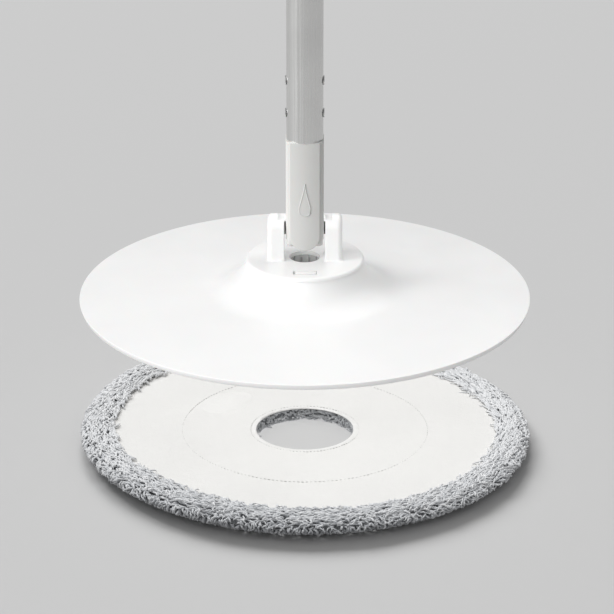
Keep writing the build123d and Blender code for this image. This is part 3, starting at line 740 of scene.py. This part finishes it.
def binding(material):
    """A narrow folded tape round the hole, standing a little above the cloth."""
    half_w = BINDING_W / 2
    corners = 16
    section = []
    for i in range(corners):
        angle = 2 * math.pi * i / corners
        rise = 0.36 * MM * math.copysign(abs(math.sin(angle)) ** 0.6, math.sin(angle))
        section.append((HOLE_R + half_w + half_w * math.cos(angle), BINDING_Z + rise))
    points, faces = lathe(section, 240)
    return piece("hole_binding", points, faces, material, "pad")


def stitching(name, material):
    """A ring of short thread stitches sunk into the cloth."""
    ring, pitch = STITCH_RINGS[name]
    count = round(2 * math.pi * ring / pitch)
    middle = np.arange(count) * 2 * math.pi / count
    s = np.linspace(-1, 1, 5)
    theta = middle[:, None] + s * STITCH_SHARE * pitch / ring
    z = BACKING_TOP - 0.50 * MM + 0.22 * MM * (1 - s**2)
    line = np.stack([ring * np.cos(theta), ring * np.sin(theta), np.tile(z, (count, 1))], axis=-1)
    radii = np.tile(THREAD_R * np.array([0.5, 1.0, 1.05, 1.0, 0.5]), (count, 1))
    points, faces = worms(line, radii, 6)
    return piece(name, bulged(points), faces, material, "pad")


def make_pad():
    yarn = chenille("yarn")
    made = [
        pad_core(foam("pad_ground_painted_shade")),
        backing(backing_cloth("cloth")),
        binding(binding_cloth("tape")),
        *fringe(yarn),
        hole_pile(yarn),
        sole_pile(yarn),
    ]
    sewing = thread("sewing_thread", (0.76, 0.757, 0.743, 1))
    return made + [stitching(name, sewing) for name in STITCH_RINGS]


# ---------------------------------------------------------------- pole
def bezier(start, first, second, end, u):
    """A cubic Bezier's value at u, from 0 at its start to 1 at its end."""
    v = 1 - u
    return start * v**3 + 3 * first * u * v**2 + 3 * second * u**2 * v + end * u**3


def drop_outline():
    """Half round the drop's tip, its bowl, and back up: (x, height)."""
    side = []
    for u in np.linspace(0, 1, 25):
        x = bezier(DROP_HALF_W, 2.7 * MM, 0.7 * MM, 0.0, u)
        z = bezier(DROP_WIDE_Z, DROP_WIDE_Z + 5.4 * MM, DROP_TIP_Z - 7.2 * MM, DROP_TIP_Z, u)
        side.append((x, z))
    sag = DROP_WIDE_Z - DROP_LOW_Z
    radius = (sag**2 + DROP_HALF_W**2) / (2 * sag)
    reach = math.asin(DROP_HALF_W / radius)
    centre = DROP_LOW_Z + radius
    angles = np.linspace(reach, -reach, 25)[1:-1]
    bowl = [(radius * math.sin(a), centre - radius * math.cos(a)) for a in angles]
    return side[::-1] + bowl + [(-x, z) for x, z in side]


def drop_ridge(material):
    """The fine raised outline of a water drop on the connector's crowned front."""
    axis = CROWN_R - CROWN_FRONT - DROP_PROUD
    line = [(x, axis - math.sqrt(CROWN_R**2 - x**2), z) for x, z in drop_outline()]
    radii = np.full((1, len(line)), 0.36 * MM)
    points, faces = worms(np.array([line]), radii, 10)
    return piece("drop_ridge", points.tolist(), faces, material, "lower_pole")


# ---------------------------------------------------------------- disc
def flare_line(drop):
    """The flare's arc from the disc's slope up to the neck, lowered by drop: (radius, height)."""
    slope = (FLARE_Z - RIM_TOP) / (DISC_R - FLARE_R)
    foot = Vector((FLARE_R + 0.1 * drop, FLARE_Z - drop))
    neck = Vector((NECK_R - 0.95 * drop, SEAT_TOP - drop))
    inward = Vector((slope, 1)).normalized()
    chord = neck - foot
    radius = chord.length_squared / (2 * chord.dot(inward))
    centre = foot + inward * radius
    start = math.atan2(foot.y - centre.y, foot.x - centre.x)
    end = math.atan2(neck.y - centre.y, neck.x - centre.x)
    if end > start:
        end -= 2 * math.pi
    angles = np.linspace(start, end, 29)
    return [(centre.x + radius * math.cos(a), centre.y + radius * math.sin(a)) for a in angles]


def under_height(radius):
    """Height of the plate's underside at this radius."""
    line = flare_line(PLATE_T)[::-1]
    line.append((DISC_R, RIM_TOP - PLATE_T))
    return float(np.interp(radius, [r for r, z in line], [z for r, z in line]))


def disc_plate(material):
    """The smooth plate: rim with a drafted edge, shallow slope, flare and seat."""
    corner = 0.45 * MM
    foot = 0.4 * MM
    edge = []
    for degrees in np.linspace(-10, 90, 7):
        angle = math.radians(degrees)
        out, up = math.cos(angle) - 1, math.sin(angle) - 1
        edge.append((DISC_R + corner * out, RIM_TOP + corner * up))
    top = edge + flare_line(0.0) + [(SEAT_HOLE_R, SEAT_TOP)]
    under = [(SEAT_HOLE_R, SEAT_TOP - PLATE_T)] + flare_line(PLATE_T)[::-1]
    lip = DISC_R - LIP_W
    outer = DISC_R - LIP_DRAFT
    rim = [(lip, under_height(lip)), (lip, RIM_BOTTOM)]
    rim += [(outer - foot, RIM_BOTTOM), (outer, RIM_BOTTOM + foot)]
    points, faces = lathe(top + under + rim, 540)
    made = piece("disc_plate", points, faces, material, "head")
    sharp = made.modifiers.new("edges", "EDGE_SPLIT")
    sharp.split_angle = math.radians(50)
    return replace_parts(made, "mop_disc")


def rib(turn):
    """One radial rib under the plate, cut back near the hub: points and faces."""
    radii = np.linspace(RIB_START_R, DISC_R - 4 * MM, 24)
    half = RIB_T / 2
    points = []
    for radius in radii:
        low = RIM_BOTTOM + max(0.0, 2 * (RIB_FOOT_R - radius))
        high = under_height(radius) + 0.3 * MM
        for side, height in ((-half, low), (half, low), (half, high), (-half, high)):
            x = radius * math.cos(turn) - side * math.sin(turn)
            y = radius * math.sin(turn) + side * math.cos(turn)
            points.append((x, y, height))
    faces = []
    for here in range(0, 4 * (len(radii) - 1), 4):
        for j in range(4):
            k = (j + 1) % 4
            faces.append((here + j, here + k, here + 4 + k, here + 4 + j))
    last = 4 * (len(radii) - 1)
    faces.append((3, 2, 1, 0))
    faces.append((last, last + 1, last + 2, last + 3))
    return points, faces


def land(inner):
    """One round land under the plate: points and faces."""
    outer = inner + RIB_T
    section = [(inner, RIM_BOTTOM), (outer, RIM_BOTTOM)]
    section += [(r, under_height(r) + 0.3 * MM) for r in (outer, inner)]
    return lathe(section, 240)


def disc_ribs(material):
    """The radial ribs and the round lands for the hook tape, under the plate."""
    ribs = [rib(2 * math.pi * i / RIBS) for i in range(RIBS)]
    points, faces = joined(ribs + [land(inner * MM) for inner in LANDS])
    return piece("disc_ribs", points, faces, material, "head", smooth=False)


def cap_latch(name, side, material):
    """A snap tongue standing in the cap's window, with softened edges."""
    xs = (LATCH_LEFT_GAP - WINDOW_X / 2, WINDOW_X / 2 - LATCH_GAP)
    near = WINDOW_AT - WINDOW_Y / 2 + LATCH_GAP
    far = WINDOW_AT + WINDOW_Y / 2 - LATCH_OUTER_GAP
    ys = sorted((side * near, side * far))
    points = [(x, y, z) for z in (SEAT_TOP - PLATE_T, LATCH_TOP) for y in ys for x in xs]
    faces = [(0, 2, 3, 1), (4, 5, 7, 6), (0, 1, 5, 4), (2, 6, 7, 3), (0, 4, 6, 2), (1, 3, 7, 5)]
    made = piece(name, points, faces, material, "head")
    bevel = made.modifiers.new("soft_edges", "BEVEL")
    bevel.width = 0.3 * MM
    bevel.segments = 3


def make_disc(material):
    disc_plate(material)
    disc_ribs(material)
    cap_latch("cap_latch_front", -1, material)
    cap_latch("cap_latch_back", 1, material)


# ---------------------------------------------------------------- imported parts
def dress_frame(white):
    """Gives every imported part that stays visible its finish."""
    finishes = {
        "white_plastic": white,
        "pole_grey": moulded_plastic("pole_grey", POLE_GREY, 0.36),
        "grey_plastic": moulded_plastic("socket_grey", (0.60, 0.605, 0.60, 1), 0.42),
        "steel": spring_steel("steel", (0.62, 0.62, 0.62, 1), 0.32),
        "hook_tape": hook_tape("hooks", (0.78, 0.78, 0.76, 1)),
        "dark_rubber": soft_rubber("dark_rubber", (0.02, 0.02, 0.02, 1)),
        "tube_metal": drawn_metal("tube_metal", (0.74, 0.74, 0.73, 1), 0.30),
        "grip_foam": soft_rubber("grip_foam", (0.16, 0.165, 0.17, 1)),
    }
    for entry in frame["record"]["subparts"]:
        finish = finishes.get(entry["material_slot"])
        node = frame["nodes"][entry["node"]]
        if finish and not node.hide_render:
            for holder in node.material_slots:
                holder.material = finish


# ---------------------------------------------------------------- studio
def make_floor():
    corners = [(-1, -1), (1, -1), (1, 1), (-1, 1)]
    mesh = bpy.data.meshes.new("floor")
    mesh.from_pydata([(FLOOR_HALF_W * x, FLOOR_HALF_W * y, 0) for x, y in corners], [], [(0, 1, 2, 3)])
    mesh.materials.append(floor_paint("floor_paint"))
    floor = bpy.data.objects.new("floor", mesh)
    bpy.context.scene.collection.objects.link(floor)
    floor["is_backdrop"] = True
    return floor


def make_camera():
    data = bpy.data.cameras.new("camera")
    data.sensor_width = 36
    data.lens = CAMERA_LENS
    data.clip_end = 50
    camera = bpy.data.objects.new("camera", data)
    camera.location = CAMERA_PLACE
    camera.rotation_euler = (math.radians(90 - CAMERA_PITCH), 0, 0)
    bpy.context.scene.collection.objects.link(camera)
    bpy.context.scene.camera = camera


def gathered(name, objects):
    """A collection that only serves to say which objects a lamp lights or is blocked by."""
    made = bpy.data.collections.new(name)
    for item in objects:
        made.objects.link(item)
    return made


def sun(name, azimuth, elevation, softness, strength, lights=None, blocked_by=None):
    """A broad soft lamp, angles in degrees. Azimuth 0 shines from in front, 90 from the right.

    lights and blocked_by are collections: what the lamp lights, and what casts its shadows."""
    data = bpy.data.lights.new(name, "SUN")
    data.angle = math.radians(softness)
    data.energy = strength
    turn, lift = math.radians(azimuth), math.radians(elevation)
    source = Vector((math.sin(turn), -math.cos(turn), math.tan(lift))).normalized()
    made = bpy.data.objects.new(name, data)
    made.location = source * 3
    made.rotation_euler = source.to_track_quat("Z", "Y").to_euler()
    bpy.context.scene.collection.objects.link(made)
    if lights:
        made.light_linking.receiver_collection = lights
    if blocked_by:
        made.light_linking.blocker_collection = blocked_by


def make_light(floor, pad):
    """Soft lamps all round the head, and lamps high and low behind for the pad and the floor."""
    world = bpy.data.worlds.new("room")
    world.use_nodes = True
    world.node_tree.nodes["Background"].inputs["Color"].default_value = (1, 1, 1, 1)
    world.node_tree.nodes["Background"].inputs["Strength"].default_value = ROOM_LIGHT
    bpy.context.scene.world = world
    bpy.context.scene.view_settings.view_transform = "Standard"
    rest = [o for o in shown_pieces() if o not in pad]
    hub_pieces = [o for o in rest if body_of(o) == ["head"]]
    hub = gathered("lit_hub", hub_pieces)
    pole = gathered("lit_pole", [o for o in rest if o not in hub_pieces])
    low = gathered("lit_pad", pad)
    ground = gathered("lit_floor", [floor])
    rim = gathered("rim_blocks", [o for o in pad if o.name.startswith("fringe_tufts")])
    # Name, azimuth, elevation, softness, strength, what it lights, what casts its shadows.
    sun("hub_key", -72, 36, 25, 1.36, hub, hub)
    sun("hub_front", -25, 25, 60, 1.55, hub, hub)
    sun("hub_back", 138, 54, 60, 1.25, hub, hub)
    sun("pole_key", -62, 30, 60, 3.6, pole)
    sun("pad_back", -140, 60, 60, 2.7, low, low)
    sun("floor_back", -175, 29, 22, 2.2, ground, rim)
    sun("floor_left", -150, 28, 22, 2.05, ground, rim)


def main():
    make_camera()
    floor = make_floor()
    pad = make_pad()
    white = moulded_plastic("white_plastic", WHITE, 0.34)
    make_disc(white)
    drop_ridge(moulded_plastic("ridge_grey", POLE_GREY, 0.36))
    dress_frame(white)
    make_light(floor, pad)


main()
